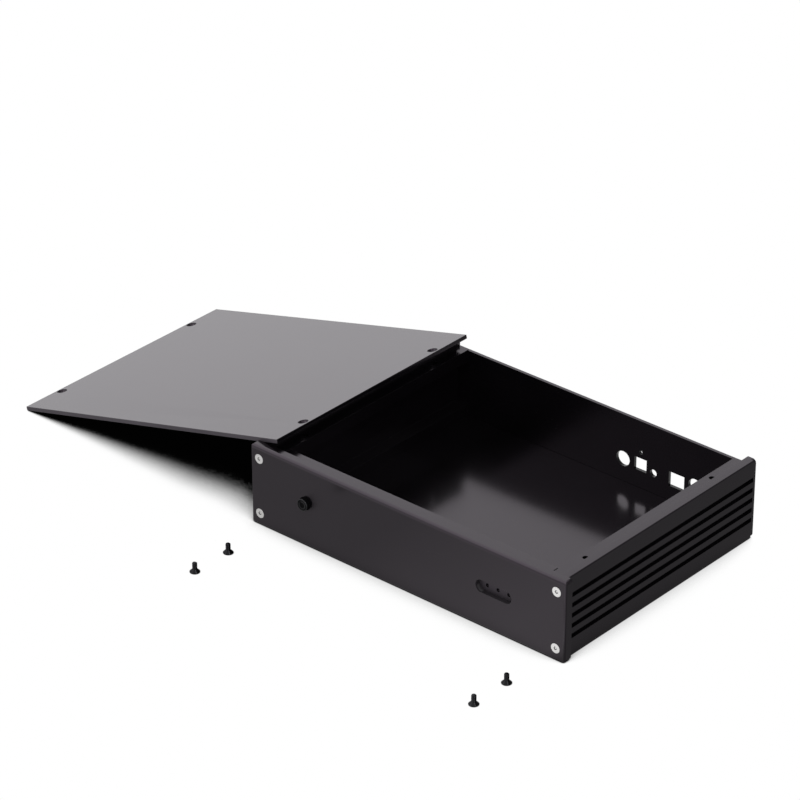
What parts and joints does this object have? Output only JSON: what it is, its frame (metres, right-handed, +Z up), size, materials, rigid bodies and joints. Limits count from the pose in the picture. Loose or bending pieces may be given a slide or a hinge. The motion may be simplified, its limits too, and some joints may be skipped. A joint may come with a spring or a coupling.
{
  "type": "aluminium enclosure",
  "caption": "Low black anodised aluminium enclosure with finned sides, a sprung power button, rear socket cut-outs and a screwed top cover, shown open with the cover leaning on one side.",
  "frame": {"origin": "centre of the enclosure's base, on the floor it stands on", "axes": "+X to the right seen from the front, +Y from the front panel to the back panel, +Z up"},
  "size_m": [0.423, 0.2401, 0.0569],
  "materials": {
    "black_anodised": "fine satin, black anodised",
    "black_steel": "black oxide",
    "stainless": "bright, turned",
    "spring_steel": "drawn wire",
    "black_plastic": "semi gloss",
    "brass": "stamped"
  },
  "bodies": {
    "case": {"front_panel": "black_anodised", "front_rail": "black_anodised", "left_side": "black_anodised", "right_side": "black_anodised", "back_panel": "black_anodised", "bottom_plate": "black_anodised", "top_cover": "black_anodised", "front_panel_screws": "stainless", "back_panel_screws": "black_steel", "bottom_plate_screws": "black_steel", "rail_screws": "black_steel", "loose_cover_screws": "black_steel", "button_spring": "spring_steel", "switch_housing": "black_plastic", "switch_end_cap": "black_plastic", "switch_terminals": "brass", "switch_screws": "stainless"},
    "button": {"power_button": "black_plastic"}
  },
  "joints": [
    {"name": "button_press", "type": "slide", "parent": "case", "child": "button", "axis": [0, 1, 0], "range_m": [0, 0.0012], "stiffness_N_per_m": 600, "deforming": ["button_spring"]}
  ]
}
